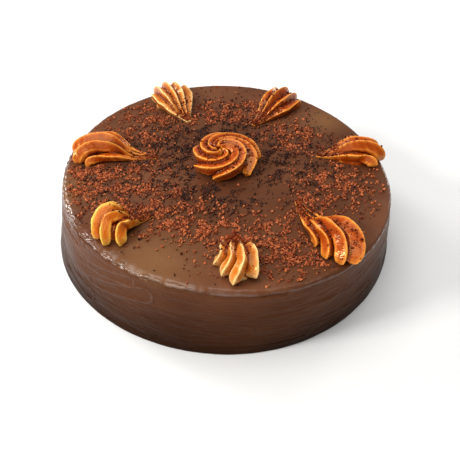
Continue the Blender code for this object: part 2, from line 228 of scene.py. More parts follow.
# %% [markdown]
# ## The cake's skin
#
# The glaze of a torte is poured, then pushed over the rim with a spatula, so its
# outline is never quite round and its side is full of overlapping strokes. The
# outline follows the same named sizes as the solid. A grid of rings is the simplest
# mesh for a round cake: every point has an angle and a place along the profile, so
# the relief is a plain function of those two.

# %% Sizes of the cake
TOP_RADIUS = 0.115
FOOT_RADIUS = 0.1213
HEIGHT = 0.0567
SHOULDER = 0.0028
SHOULDER_SPREAD = 0.45
FOOT_BEVEL = 0.0008
TOP_LOBES = ((2, -0.001, -0.031), (3, -0.006, -0.009))
FOOT_LOBES = ((2, 0.033, 0.005), (3, -0.008, 0.009))
SIDE_WAVE = 0.00035
SIDE_WAVES = ((5.0, 2.4, 0.0, 1.0), (9.0, -3.0, 1.0, 0.6))


def lobed(radius, lobes, angle):
    swell = sum(c * math.cos(n * angle) + s * math.sin(n * angle) for n, c, s in lobes)
    return radius * (1.0 + swell)


def shoulder_size(angle):
    return SHOULDER * (1.0 - SHOULDER_SPREAD * math.cos(angle))


def side_wave(angle, level):
    sweep = sum(share * math.sin(around * angle + up * level + phase)
                for around, up, phase, share in SIDE_WAVES)
    return SIDE_WAVE * sweep * math.sin(math.pi * level)


def side_point(angle, level, grow=0.0):
    """Radius and height on the plain side, at a share of its height."""
    top = lobed(TOP_RADIUS, TOP_LOBES, angle)
    foot = lobed(FOOT_RADIUS, FOOT_LOBES, angle)
    return foot + (top - foot) * level + grow, level * (HEIGHT - shoulder_size(angle))


def shoulder_point(angle, turn, grow=0.0):
    """Radius and height on the rounded rim, which turns from upright to level."""
    size = shoulder_size(angle)
    centre = lobed(TOP_RADIUS, TOP_LOBES, angle) - size
    return centre + (size + grow) * math.cos(turn), HEIGHT - size + (size + grow) * math.sin(turn)


low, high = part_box("cake")
print("cake solid", [round((high[k] - low[k]) / MM, 1) for k in range(3)], "mm")

# %% [markdown]
# ### Spatula strokes
#
# A stroke is a shallow trough with a lip of glaze along its edges and a round end.
# On the unrolled side each stroke is a capsule: the distance from a point to a line
# decides whether the point lies in the trough, on the lip or outside. A few strokes
# that catch the eye are listed one by one, the rest come from a seeded draw.

# %% Strokes on the side
STROKE_SEED = 5
STROKE_COUNT = 46
# Seen strokes: start angle and height share, end angle and height share, half width, depth, lip (mm)
SEEN_STROKES = (
    (-139.0, 0.46, -116.0, 0.70, 5.2, 0.30, 0.85),
    (-146.0, 0.62, -122.0, 0.80, 3.4, 0.25, 0.60),
    (-176.0, 0.30, -140.0, 0.22, 4.5, 0.20, 0.45),
    (-112.0, 0.50, -84.0, 0.38, 5.0, 0.18, 0.40),
    (-95.0, 0.12, -65.0, 0.15, 1.8, 0.40, 0.18),
    (-93.0, 0.91, -72.0, 0.93, 1.5, 0.65, 0.30),
    (-80.0, 0.62, -52.0, 0.70, 4.0, 0.20, 0.40),
    (-58.0, 0.35, -38.0, 0.28, 4.0, 0.20, 0.35),
    (-114.0, 0.08, -112.0, 0.14, 1.6, 0.55, 0.40),
    (-172.0, 0.72, -148.0, 0.82, 3.0, 0.35, 0.60),
)


def drawn_strokes():
    """Strokes all round the side: mostly level, thin and shallow."""
    draw = random.Random(STROKE_SEED)
    strokes = []
    for _ in range(STROKE_COUNT):
        angle = draw.uniform(-180.0, 180.0)
        level = draw.uniform(0.06, 0.92)
        length = draw.uniform(8.0, 34.0)
        tilt = draw.uniform(-0.10, 0.12)
        width = draw.uniform(1.8, 5.5)
        strokes.append((angle, level, angle + length, level + tilt, width,
                        draw.uniform(0.04, 0.14), draw.uniform(0.08, 0.26)))
    return strokes


STROKES = list(SEEN_STROKES) + drawn_strokes()


def capsule(x, y, dx, dy):
    """For points seen from the start of a line: share along it, and distance from it."""
    along = np.clip((x * dx + y * dy) / (dx * dx + dy * dy), 0.0, 1.0)
    return along, np.hypot(x - along * dx, y - along * dy)


def stroke_relief(angles, levels, strokes):
    """Relief in mm over grids of angles (degrees) and height shares."""
    relief = np.zeros_like(angles)
    across = FOOT_RADIUS / MM * math.pi / 180.0
    up = HEIGHT / MM
    for a0, l0, a1, l1, half, depth, lip in strokes:
        middle = 0.5 * (a0 + a1)
        turned = (angles - middle + 180.0) % 360.0 - 180.0 + middle
        along, away = capsule((turned - a0) * across, (levels - l0) * up,
                              (a1 - a0) * across, (l1 - l0) * up)
        width = half * (0.55 + 0.45 * along)
        away = away / width
        edge = np.exp(-((away - 1.05) * width / 0.6) ** 2)
        relief += lip * edge * (0.35 + 0.65 * along) - depth * np.clip(1.0 - away ** 4, 0.0, 1.0)
    return relief


print(len(STROKES), "strokes on the side")

# %% [markdown]
# ### Pushing the points out
#
# Four kinds of relief are added along the way out of the surface: strokes, slow
# waves, a finer crust of noise that is roughest on the left of the rim, and the raised
# lip of glaze just under the top. NumPy works on all points at once. The noise comes
# from sums of sines of turned coordinates, which is quick and repeats exactly.

# %% Noise and rings
SEGMENTS = 640
SIDE_RINGS = 92
SHOULDER_RINGS = 20
TOP_RINGS = 36
WAVE_SEED = 3


def wave_noise(x, y, size, seed, turns=14):
    """Smooth noise of about unit height on two arrays, with features of the given size."""
    draw = random.Random(seed)
    total = np.zeros_like(x)
    for _ in range(turns):
        angle = draw.uniform(0.0, math.tau)
        stretch = draw.uniform(0.6, 1.6)
        phase = draw.uniform(0.0, math.tau)
        total += np.sin((x * math.cos(angle) + y * math.sin(angle)) * stretch * math.tau / size + phase)
    return total / math.sqrt(0.5 * turns)


def cake_grid():
    """Points of the plain skin, ring by ring, with each one's angle, height share and
    distance in mm from the rim."""
    profile = [("side", k / SIDE_RINGS) for k in range(SIDE_RINGS)]
    profile += [("rim", 0.5 * math.pi * k / SHOULDER_RINGS) for k in range(SHOULDER_RINGS)]
    profile += [("top", k / TOP_RINGS) for k in range(TOP_RINGS)]
    rows = []
    for part, place in profile:
        for k in range(SEGMENTS):
            angle = math.tau * k / SEGMENTS
            inward = 0.0
            if part == "side":
                radius, height = side_point(angle, place)
                radius += side_wave(angle, place) - (FOOT_BEVEL if place == 0.0 else 0.0)
            else:
                radius, height = shoulder_point(angle, place if part == "rim" else 0.5 * math.pi)
            if part == "top":
                inward = radius * place / MM
                radius *= 1.0 - place
            rows.append((radius * math.cos(angle), radius * math.sin(angle), height,
                         angle, height / HEIGHT, inward))
    grid = np.array(rows)
    return grid[:, :3], grid[:, 3], grid[:, 4], grid[:, 5]


grid_points, grid_angles, grid_levels, grid_inward = cake_grid()
print(len(grid_points), "points in", SIDE_RINGS + SHOULDER_RINGS + TOP_RINGS, "rings")

# %% Relief of the rim and the top
# Raised edge of the top: angles where it is high, its height there and elsewhere (mm)
RIM_BEAD = (-155.0, -98.0, 1.15)
RIM_LINE = 0.22
# Where the rim is roughest: start, end and softness of each stretch (degrees)
ROUGH_RIM = ((-185.0, -118.0, 8.0), (150.0, 190.0, 12.0))
# Streaks and crust of the side: stretch around, stretch up, size, height (mm)
STREAKS = ((0.10, 1.0, 2.8, 0.075), (0.22, 0.8, 11.0, 0.11), (1.0, 1.2, 6.0, 0.03))
# Long strokes on top, in mm: x and y of both ends, half width, depth, lip
TOP_SWOOPS = (
    (-4.0, 92.0, 26.0, 86.0, 5.0, 0.30, 0.22),
    (70.0, 52.0, 96.0, 22.0, 5.0, 0.20, 0.16),
    (-92.0, -52.0, -60.0, -82.0, 5.0, 0.20, 0.16),
    (-38.0, -92.0, 10.0, -104.0, 4.0, 0.18, 0.14),
    (-20.0, 30.0, 40.0, 60.0, 8.0, 0.12, 0.10),
)


def bump_window(angles, start, end, soft):
    """1 between two angles (degrees), fading to 0 over soft degrees."""
    rise = 1.0 / (1.0 + np.exp(-(angles - start) / soft))
    fall = 1.0 / (1.0 + np.exp((angles - end) / soft))
    return rise * fall


def top_relief(x, y):
    """Relief of the top in mm: a few long strokes and slow swells."""
    relief = 0.10 * wave_noise(x, y, 42.0, WAVE_SEED) + 0.035 * wave_noise(x, y, 11.0, WAVE_SEED + 1)
    for x0, y0, x1, y1, half, depth, lip in TOP_SWOOPS:
        along, away = capsule(x - x0, y - y0, x1 - x0, y1 - y0)
        away = away / half
        relief += lip * np.exp(-((away - 1.0) * half / 1.3) ** 2) * along
        relief -= depth * np.clip(1.0 - away ** 4, 0.0, 1.0)
    return relief


def around(angles):
    """Angles as degrees from -180 to 180, and as lengths in mm around the foot."""
    degrees = np.degrees((angles + math.pi) % math.tau - math.pi)
    return degrees, np.radians(degrees) * FOOT_RADIUS / MM


def skin_relief(points, angles, levels, inward):
    """Relief in metres for every grid point."""
    degrees, arc = around(angles)
    x, y, z = points.T / MM
    on_side = np.clip((0.985 - levels) / 0.04, 0.0, 1.0)
    on_top = np.clip((levels - 0.985) / 0.015, 0.0, 1.0)
    off_foot = np.clip(levels / 0.03, 0.0, 1.0)
    near_rim = np.exp(-(inward / 3.0) ** 2)
    on_rim = np.exp(-((levels - 0.965) / 0.035) ** 2) * near_rim
    side = stroke_relief(degrees, levels, STROKES)
    for number, (stretch, rise, size, height) in enumerate(STREAKS, 2):
        side += height * wave_noise(arc * stretch, z * rise, size, WAVE_SEED + number)
    rough = sum(bump_window(degrees, *stretch) for stretch in ROUGH_RIM)
    crust = np.abs(wave_noise(arc * 0.6, z, 3.8, WAVE_SEED + 5)) * 0.38 - 0.2
    # A lip along a wavering line just under the top, with a trough below it
    start, end, height = RIM_BEAD
    line = 0.972 + 0.008 * np.sin(arc * 0.23) + 0.004 * np.sin(arc * 0.61)
    bead = np.exp(-((levels - line) / 0.011) ** 2)
    bead -= 1.2 * np.exp(-((levels - line + 0.042) / 0.016) ** 2)
    bead *= (height * bump_window(degrees, start, end, 4.0) + RIM_LINE) * near_rim
    relief = side * on_side * off_foot + crust * on_rim * (0.35 + 0.9 * rough) + bead
    return (relief + on_top * top_relief(x, y)) * MM


relief = skin_relief(grid_points, grid_angles, grid_levels, grid_inward)
print("relief from", round(relief.min() / MM, 2), "to", round(relief.max() / MM, 2), "mm")


# %% Skin mesh
def outward(points, angles, levels):
    """Direction that the relief pushes: out on the side, up on top, turning over the rim."""
    sizes = np.array([shoulder_size(a) for a in angles])
    rise = np.clip((points[:, 2] - (HEIGHT - sizes)) / sizes, 0.0, 1.0)
    flat = np.sqrt(1.0 - rise ** 2)
    return np.stack((np.cos(angles) * flat, np.sin(angles) * flat, rise), axis=1)


def grid_mesh(name, points, columns):
    """Closed skin over rings of points, with a flat underside and a pole on top."""
    rows = len(points) // columns
    faces = []
    for r in range(rows - 1):
        for k in range(columns):
            n = (k + 1) % columns
            faces.append((r * columns + k, r * columns + n, (r + 1) * columns + n, (r + 1) * columns + k))
    pole = len(points)
    last = (rows - 1) * columns
    for k in range(columns):
        faces.append((last + k, last + (k + 1) % columns, pole))
    faces.append(tuple(reversed(range(columns))))
    tip = points[last:].mean(axis=0)
    mesh = bpy.data.meshes.new(name)
    mesh.from_pydata([tuple(p) for p in points] + [tuple(tip)], [], faces)
    mesh.update()
    mesh.shade_smooth()
    return link_object(name, mesh)


skin_points = grid_points + outward(grid_points, grid_angles, grid_levels) * relief[:, None]
cake_skin = grid_mesh("cake_glaze", skin_points, SEGMENTS)
print("glaze skin", len(cake_skin.data.polygons), "faces")

# %% [markdown]
# ### Where the glaze shines
#
# The side is nearly dull at the foot and on the right, the top is satin, and the rim
# at the left is still wet. A material can't know that by itself, so two numbers are
# kept on every point of the mesh: its sheen and its wetness.

# %% Sheen and wetness
SIDE_SHEEN = (0.05, 0.14)
TOP_SHEEN = 0.5
WET_LIPS = 0.40
# Stretches around the cake: start angle, end angle, share
LEFT_SHEEN = (-178.0, -108.0, 0.18)
WET_SHOULDER = (-186.0, -142.0, 0.8)
WET_RIM = ((-182.0, -92.0, 1.0), (160.0, 190.0, 1.0), (-32.0, 34.0, 1.0))


def store(mesh, key, values):
    """Keeps a value on every point of a mesh, for materials and node trees to read."""
    values = np.asarray(values, np.float32)
    mesh.attributes.new(key, "FLOAT", "POINT").data.foreach_set("value", values)
    print(mesh.name, key, "up to", round(float(values.max()), 2))


def sheen_values(angles, levels, inward):
    """How glossy the glaze is at every point, and how wet."""
    degrees, arc = around(angles)
    start, end, share = LEFT_SHEEN
    side = SIDE_SHEEN[0] + (SIDE_SHEEN[1] - SIDE_SHEEN[0]) * np.clip(levels / 0.8, 0.0, 1.0)
    side += (share - side) * bump_window(degrees, start, end, 7.0) * np.clip(levels / 0.3, 0.0, 1.0)
    sheen = side + (TOP_SHEEN - side) * np.clip((levels - 0.90) / 0.09, 0.0, 1.0)
    band = np.exp(-((levels - 0.968) / 0.030) ** 2) * np.exp(-(inward / 2.0) ** 2)
    stretch = sum(share * bump_window(degrees, start, end, 6.0) for start, end, share in WET_RIM)
    patches = np.clip(0.75 + 0.5 * wave_noise(arc, levels * 30.0, 9.0, WAVE_SEED + 8), 0.0, 1.0)
    wet = 1.6 * band * (0.2 + 0.8 * np.clip(stretch, 0.0, 1.0)) * patches
    start, end, share = WET_SHOULDER
    shoulder = np.exp(-((levels - 0.92) / 0.06) ** 2) * bump_window(degrees, start, end, 6.0)
    lips = stroke_relief(degrees, levels, [row[:5] + (0.0, 1.0) for row in SEEN_STROKES[:2]])
    wet += share * shoulder * patches
    wet += WET_LIPS * np.clip(lips, 0.0, 1.0) * np.clip((0.93 - levels) / 0.03, 0.0, 1.0)
    return np.append(sheen, TOP_SHEEN), np.append(np.clip(wet, 0.0, 1.0), 0.0)


for key, values in zip(("sheen", "wet"), sheen_values(grid_angles, grid_levels, grid_inward)):
    store(cake_skin.data, key, values)

# %% [markdown]
# ## Piped cream
#
# A star tip leaves ropes of cream side by side. Each shell starts thick where the
# bag stood still and thins out where it was pulled away. Every rope is a tube with
# the section of a rounded blade, and the tubes lie on a plump body. Voxel remeshing
# melts them into one skin, as soft cream does, and keeps the creases between them.

# %% Sizes of the piped shells
# The rows are those of the solids, in millimetres and degrees: heading, tail tip,
# share of the length that is neck, plump body (side, length, height, half width),
# and ridges (side at the crest, side at the end, reach, rise, girth, curl).
SHELLS = {
    "shell_1": (-86.0, (6.0, -66.0), 0.06, (0.0, 39.0, 7.5, 9.5), (
        (2.0, -4.2, 43.5, 10.2, 3.2, 0.0),
        (7.6, 7.4, 39.5, 7.0, 4.0, 0.0),
        (-3.4, -9.6, 36.5, 8.0, 3.2, 0.0),
        (-7.6, -13.0, 26.0, 4.6, 3.0, 20.0))),
    "shell_2": (-149.0, (-48.5, -49.0), 0.34, (-1.0, 35.0, 8.0, 9.0), (
        (-11.0, -6.5, 36.0, 9.6, 3.3, 0.0),
        (-7.5, 1.5, 39.5, 12.0, 3.2, 0.0),
        (-2.5, 9.0, 37.5, 9.8, 3.0, 0.0),
        (3.6, 13.0, 29.0, 6.0, 3.4, 15.0))),
    "shell_3": (177.0, (-49.5, 13.5), 0.36, (-4.0, 55.0, 8.0, 11.0), (
        (-1.0, 7.5, 57.5, 9.0, 3.7, 10.0),
        (-8.2, -3.6, 60.0, 9.2, 4.0, 15.0),
        (-14.6, -11.4, 57.0, 6.0, 4.0, 15.0),
        (5.0, 10.0, 49.0, 4.2, 2.6, 20.0))),
    "shell_4": (116.6, (-28.0, 60.0), 0.14, (-0.5, 46.0, 8.0, 11.0), (
        (-11.0, -12.0, 43.0, 5.4, 3.5, 10.0),
        (-5.4, -6.0, 47.5, 9.0, 3.2, 15.0),
        (0.4, 0.6, 50.0, 10.0, 3.2, 20.0),
        (6.4, 7.5, 48.5, 8.6, 3.2, 20.0),
        (10.6, 11.2, 42.5, 4.6, 3.5, 20.0),
        (8.6, 11.6, 31.0, 3.0, 2.8, 30.0))),
    "shell_5": (52.5, (22.0, 55.0), 0.08, (-0.5, 47.0, 7.5, 10.5), (
        (6.8, 8.5, 47.0, 7.0, 3.4, 10.0),
        (0.8, 1.6, 50.0, 9.6, 3.4, 15.0),
        (-5.6, -6.0, 49.0, 7.6, 3.3, 15.0),
        (-10.4, -11.6, 45.0, 3.6, 3.4, 20.0))),
    "shell_6": (-3.0, (66.8, 15.4), 0.08, (0.5, 43.0, 7.5, 10.0), (
        (8.4, 8.0, 43.5, 6.0, 4.1, 15.0),
        (1.2, -1.5, 46.5, 9.0, 3.8, 15.0),
        (-5.6, -10.8, 42.0, 4.6, 3.1, 0.0))),
    "shell_7": (-62.0, (48.2, -35.0), 0.36, (0.0, 58.0, 8.0, 9.5), (
        (8.4, -2.0, 66.5, 7.0, 4.8, 0.0),
        (-0.6, -8.0, 63.0, 9.8, 3.8, 0.0),
        (-6.4, -13.0, 54.5, 7.4, 3.1, 0.0),
        (-9.0, -11.0, 40.5, 4.4, 2.7, 20.0))),
}
CREST_AT = 0.70
CREST_RINGS = 0.60
FULL_AT = 0.90
ROUND_OFF = 0.16
FLARE = 0.16
TAIL_GIRTH = 0.7
TAIL_SPREAD = 0.12
print(len(SHELLS), "shells with", sum(len(row[4]) for row in SHELLS.values()), "ridges")

# %% Blade-shaped tubes
RIDGE_SIDES = 16
RIDGE_RINGS = 34
BLADE_CREST = 1.48
BLADE_FOOT = 1.0
BLADE_WIDTH = 1.14
BLADE_NARROWING = 0.74
END_CAP = 0.6


def skin_over(bm, rings, start, end):
    """Adds a closed tube over rings of points to a bmesh, with a pole at each end."""
    rows = [[bm.verts.new(point) for point in ring] for ring in rings]
    count = len(rows[0])
    for low_row, high_row in zip(rows, rows[1:]):
        for k in range(count):
            n = (k + 1) % count
            bm.faces.new((low_row[k], low_row[n], high_row[n], high_row[k]))
    for row, tip in ((list(reversed(rows[0])), start), (rows[-1], end)):
        pole = bm.verts.new(tip)
        for k in range(count):
            bm.faces.new((row[k], row[(k + 1) % count], pole))


def blade(centre, along, crest, girth):
    """One ring of a ridge: a rounded blade, narrow at its crest."""
    along.normalize()
    crest = (crest - along * crest.dot(along)).normalized()
    across = along.cross(crest)
    ring = []
    for k in range(RIDGE_SIDES):
        turn = math.tau * k / RIDGE_SIDES
        up = math.cos(turn)
        reach_up = girth * (BLADE_CREST if up > 0.0 else BLADE_FOOT) * up
        width = girth * BLADE_WIDTH * (1.0 - BLADE_NARROWING * max(up, 0.0))
        ring.append(centre + crest * reach_up + across * width * math.sin(turn))
    return ring


def add_ridge(bm, path, girths, hearts, place):
    """A ridge through path points, whose crest points away from the heart points."""
    rings = []
    for k, centre in enumerate(path):
        ahead = path[min(k + 1, len(path) - 1)]
        behind = path[max(k - 1, 0)]
        rings.append(blade(centre, ahead - behind, centre - hearts[k], girths[k]))
    start = path[0] - (path[1] - path[0]).normalized() * girths[0] * END_CAP
    end = path[-1] + (path[-1] - path[-2]).normalized() * girths[-1] * END_CAP
    rings = [[place(point) for point in ring] for ring in rings]
    skin_over(bm, rings, place(start), place(end))


print("ridge section", RIDGE_SIDES, "points")


# %% Path of a shell's ridge
def ease(share):
    """Runs from 0 to 1 with a soft start and end."""
    share = min(max(share, 0.0), 1.0)
    return share * share * (3.0 - 2.0 * share)


def ridge_point(ridge, neck, share):
    """Centre of a ridge in (along, sideways, up), from the tail tip to the curled end."""
    crest_side, end_side, reach, rise, girth, curl = ridge
    crest = CREST_AT * reach
    nose = reach - END_CAP * girth
    if share < CREST_RINGS:
        run = share / CREST_RINGS
        opening = ease((run - neck) / (FULL_AT - neck))
        up = TAIL_GIRTH + (rise - TAIL_GIRTH) * opening
        sideways = crest_side * (TAIL_SPREAD + (1.0 - TAIL_SPREAD) * min(run / FULL_AT, 1.0))
        return Vector((crest * run, sideways, up))
    turn = (share - CREST_RINGS) / (1.0 - CREST_RINGS)
    angle = turn * math.radians(90.0 + curl)
    along = crest + (nose - crest) * math.sin(angle)
    up = girth * 0.4 + (rise - girth * 0.4) * math.cos(angle)
    return Vector((along, crest_side + (end_side - crest_side) * ease(turn), up))


def ridge_girth(ridge, neck, share):
    girth = ridge[4]
    opening = ease((share / CREST_RINGS - neck) / (FULL_AT - neck))
    swell = TAIL_GIRTH + (girth - TAIL_GIRTH) * opening
    flare = 1.0 + FLARE * ease((share - CREST_RINGS) / (1.0 - CREST_RINGS))
    tip = max(share - 1.0 + ROUND_OFF, 0.0) / ROUND_OFF
    return swell * flare * math.sqrt(max(1.0 - 0.85 * tip * tip, 0.0))


def shell_place(heading, tail):
    """Turns a shell's own millimetres into metres on top of the cake."""
    turn = math.radians(heading)
    forward = Vector((math.cos(turn), math.sin(turn), 0.0))
    left = Vector((-forward.y, forward.x, 0.0))

    def place(point):
        world = Vector((*tail, 0.0)) + forward * point.x + left * point.y
        return Vector((world.x * MM, world.y * MM, point.z * MM + HEIGHT))
    return place


print("paths bend down over the head of a shell")

# %% Bodies under the ridges
CORE_FILL = 0.85
CORE_RINGS = 12
CORE_SIDES = 24


def add_shell_core(bm, neck, core, place):
    side, length, height, half_width = core
    start = (0.1 + neck) * length
    rings = []
    for k in range(1, CORE_RINGS):
        share = 0.5 * (1.0 - math.cos(math.pi * k / CORE_RINGS))
        swell = math.sin(math.pi * k / CORE_RINGS) ** 0.8 * (0.45 + 0.55 * ease(share * 1.6))
        ring = []
        for n in range(CORE_SIDES):
            angle = math.tau * n / CORE_SIDES
            sideways = side * ease(share * 1.5) + half_width * swell * math.cos(angle)
            up = height * CORE_FILL * swell * math.sin(angle)
            ring.append(place(Vector((start + (length - start) * share, sideways, up))))
        rings.append(ring)
    skin_over(bm, rings, place(Vector((start, 0.0, 0.0))), place(Vector((length, side, 0.0))))


def shell_tubes(row):
    """All tubes of one shell in one bmesh."""
    heading, tail, neck, core, ridges = row
    place = shell_place(heading, tail)
    bm = bmesh.new()
    add_shell_core(bm, neck, core, place)
    for ridge in ridges:
        shares = [k / (RIDGE_RINGS - 1) for k in range(RIDGE_RINGS)]
        path = [ridge_point(ridge, neck, share) for share in shares]
        girths = [ridge_girth(ridge, neck, share) for share in shares]
        heart = 0.55 * ridge[2]
        hearts = [Vector((min(p.x, heart), core[0] * 0.6, -2.0)) for p in path]
        add_ridge(bm, path, girths, hearts, place)
    return bm


print("plump bodies of", CORE_RINGS, "rings")

# %% [markdown]
# ### The rosette
#
# The swirl in the middle is piped in one turn of the wrist, so its ropes wind from
# the foot up and in to the eye. Each rope is the same rule with its own start angle.

# %% Rosette ropes
ROSETTE_FOOT = (1.0, 9.0)
ROSETTE_EYE = (-4.0, 8.0)
ROSETTE_RADIUS = 21.5
ROSETTE_HEIGHT = 12.5
ROSETTE_EDGE = 1.6
ROSETTE_HOLE = 2.6
ROSETTE_CORE = (16.2, -1.5, 10.2, 10, 32)
ROSETTE_RINGS = 46
# Ropes: angle of the outer end, twist to the eye, girth, height against the rest
ROSETTE_RIDGES = (
    (201.0, 218.0, 4.8, 0.98),
    (249.0, 212.0, 4.9, 1.08),
    (312.0, 205.0, 5.3, 0.92),
    (4.0, 205.0, 5.2, 1.0),
    (74.0, 205.0, 4.8, 1.02),
    (142.0, 205.0, 4.4, 0.95),
)


def on_top(point):
    return Vector((point.x * MM, point.y * MM, point.z * MM + HEIGHT))


def add_rope(bm, rope):
    start_angle, twist, girth, lift = rope
    foot = Vector((*ROSETTE_FOOT, 0.0))
    eye = Vector((*ROSETTE_EYE, 0.0))
    path = []
    girths = []
    hearts = []
    for k in range(ROSETTE_RINGS):
        share = k / (ROSETTE_RINGS - 1)
        angle = math.radians(start_angle + twist * share ** 1.1)
        radius = (ROSETTE_RADIUS - girth * 0.55) * (1.0 - share) ** 0.85 + ROSETTE_HOLE
        centre = foot.lerp(eye, share)
        climb = math.sin(0.5 * math.pi * share ** 0.7)
        up = ROSETTE_EDGE + (ROSETTE_HEIGHT * lift - ROSETTE_EDGE) * climb
        out = Vector((math.cos(angle), math.sin(angle), 0.0))
        path.append(centre + out * radius + Vector((0.0, 0.0, up)))
        tip = 1.0 - 0.4 * max(0.0, ROUND_OFF - share) / ROUND_OFF
        girths.append(girth * (1.0 - 0.66 * share) * tip)
        hearts.append(centre + out * radius * 0.55 + Vector((0.0, 0.0, up - 6.0)))
    add_ridge(bm, path, girths, hearts, on_top)


def rosette_tubes():
    wide, low_edge, top, steps, sides = ROSETTE_CORE
    bm = bmesh.new()
    rings = []
    for k in range(steps):
        turn = 0.5 * math.pi * k / steps
        centre = Vector((*ROSETTE_FOOT, 0.0)).lerp(Vector((*ROSETTE_EYE, 0.0)), k / steps)
        height = low_edge + (top - low_edge) * math.sin(turn)
        reach = wide * math.cos(turn)
        angles = [math.tau * n / sides for n in range(sides)]
        rings.append([on_top(centre + Vector((reach * math.cos(a), reach * math.sin(a), height)))
                      for a in angles])
    floor_point = on_top(Vector((*ROSETTE_FOOT, low_edge)))
    skin_over(bm, rings, floor_point, on_top(Vector((*ROSETTE_EYE, top))))
    for rope in ROSETTE_RIDGES:
        add_rope(bm, rope)
    return bm


print(len(ROSETTE_RIDGES), "ropes in the rosette")

# %% [markdown]
# ### Melting and cutting
#
# The Remesh modifier in voxel mode makes one closed skin over all tubes. Small
# voxels keep the ridges sharp. The skin is then cut to the top of the cake with a
# Boolean, so the cream stands on the glaze with a flat foot.

# %% Melt
CREAM_VOXEL = 0.00034
SINK = 0.0003
# The cutter is a coarse cake
CUTTER_SEGMENTS = 120
CUTTER_STEPS = 6


def mesh_object(name, bm):
    mesh = bpy.data.meshes.new(name)
    bm.to_mesh(mesh)
    bm.free()
    return link_object(name, mesh)


def plain_cake(name, grow):
    """The smooth solid of the cake, larger all round by grow."""
    bm = bmesh.new()
    rings = []
    for step in range(2 * CUTTER_STEPS + 1):
        ring = []
        for k in range(CUTTER_SEGMENTS):
            angle = math.tau * k / CUTTER_SEGMENTS
            if step < CUTTER_STEPS:
                radius, height = side_point(angle, step / CUTTER_STEPS, grow)
            else:
                turn = 0.5 * math.pi * (step - CUTTER_STEPS) / CUTTER_STEPS
                radius, height = shoulder_point(angle, turn, grow)
            ring.append((radius * math.cos(angle), radius * math.sin(angle), height))
        rings.append(ring)
    skin_over(bm, rings, (0.0, 0.0, 0.0), (0.0, 0.0, HEIGHT + grow))
    bmesh.ops.recalc_face_normals(bm, faces=bm.faces)
    return mesh_object(name, bm)


def apply_modifiers(obj):
    """Replaces an object's mesh by what its modifiers make of it."""
    depsgraph = bpy.context.evaluated_depsgraph_get()
    old = obj.data
    made = bpy.data.meshes.new_from_object(obj.evaluated_get(depsgraph))
    obj.modifiers.clear()
    obj.data = made
    bpy.data.meshes.remove(old)


def melt(name, bm, cutter):
    """One skin over all tubes in the bmesh, cut to the cake."""
    bmesh.ops.recalc_face_normals(bm, faces=bm.faces)
    obj = mesh_object(name, bm)
    remesh = obj.modifiers.new("melt", "REMESH")
    remesh.mode = "VOXEL"
    remesh.voxel_size = CREAM_VOXEL
    apply_modifiers(obj)
    cut = obj.modifiers.new("cut", "BOOLEAN")
    cut.operation = "DIFFERENCE"
    cut.solver = "MANIFOLD"
    cut.object = cutter
    apply_modifiers(obj)
    return obj


def keep_largest(obj):
    """Drops every scrap that isn't joined to the main body."""
    bm = bmesh.new()
    bm.from_mesh(obj.data)
    left = set(bm.verts)
    islands = []
    while left:
        stack = [left.pop()]
        island = set(stack)
        while stack:
            for edge in stack.pop().link_edges:
                for vert in edge.verts:
                    if vert in left:
                        left.discard(vert)
                        island.add(vert)
                        stack.append(vert)
        islands.append(island)
    islands.sort(key=len)
    for island in islands[:-1]:
        bmesh.ops.delete(bm, geom=list(island), context="VERTS")
    bm.to_mesh(obj.data)
    bm.free()


print("melting with voxels of", CREAM_VOXEL / MM, "mm")

# %% [markdown]
# ### Unevenness and creases
#
# NumPy reads all points of a mesh at once. The points first move a little along their
# normals. Then a copy of them is smoothed many times: where a point lies below its
# smoothed place it is in a crease, where it stands above it is on a crest. That depth
# is kept as an attribute, and the cream's colour is painted from it: painted shade in
# the creases, painted highlight on the crests.

# %% Roughen and mark
CREAM_ROUGH = 0.09
HOLLOW_STEPS = 90
HOLLOW_DEPTH = 0.00085
SHELL_SEED = 20
ROSETTE_SEED = 40


def places_and_normals(mesh):
    arrays = []
    for key in ("co", "normal"):
        array = np.zeros(len(mesh.vertices) * 3)
        mesh.vertices.foreach_get(key, array)
        arrays.append(array.reshape(-1, 3))
    return arrays


def roughen(mesh, seed):
    """Moves the points along their normals by smooth noise, less at the foot."""
    places, normals = places_and_normals(mesh)
    x, y, z = (places / MM).T
    slow = wave_noise(x + 0.7 * z, y - 0.4 * z, 7.0, seed)
    fine = wave_noise(x - 0.6 * z, y + 0.8 * z, 2.2, seed + 1)
    amount = (0.65 * slow + 0.35 * fine) * CREAM_ROUGH * MM
    amount *= np.clip((z - HEIGHT / MM) / 1.5, 0.0, 1.0)
    places += normals * amount[:, None]
    mesh.vertices.foreach_set("co", places.ravel())
    mesh.update()
    mesh.shade_smooth()


def mark_hollows(mesh):
    """Stores how far each point lies in a crease: 1 deep in it, down to -2 on a crest."""
    places, normals = places_and_normals(mesh)
    count = len(places)
    ends = np.zeros(len(mesh.edges) * 2, np.int64)
    mesh.edges.foreach_get("vertices", ends)
    first, second = ends.reshape(-1, 2).T
    near = np.bincount(first, minlength=count) + np.bincount(second, minlength=count)
    smooth = places.copy()
    for _ in range(HOLLOW_STEPS):
        total = np.zeros_like(smooth)
        for axis in range(3):
            total[:, axis] = np.bincount(first, smooth[second, axis], count)
            total[:, axis] += np.bincount(second, smooth[first, axis], count)
        smooth = total / np.maximum(near, 1)[:, None]
    depth = ((smooth - places) * normals).sum(axis=1)
    store(mesh, "hollow", np.clip(depth / HOLLOW_DEPTH, -2.0, 1.0))


def cream_piece(name, bm, seed):
    piece = melt("piped_" + name, bm, cutter)
    keep_largest(piece)
    roughen(piece.data, seed)
    mark_hollows(piece.data)
    print(name, len(piece.data.polygons), "faces")
    return piece


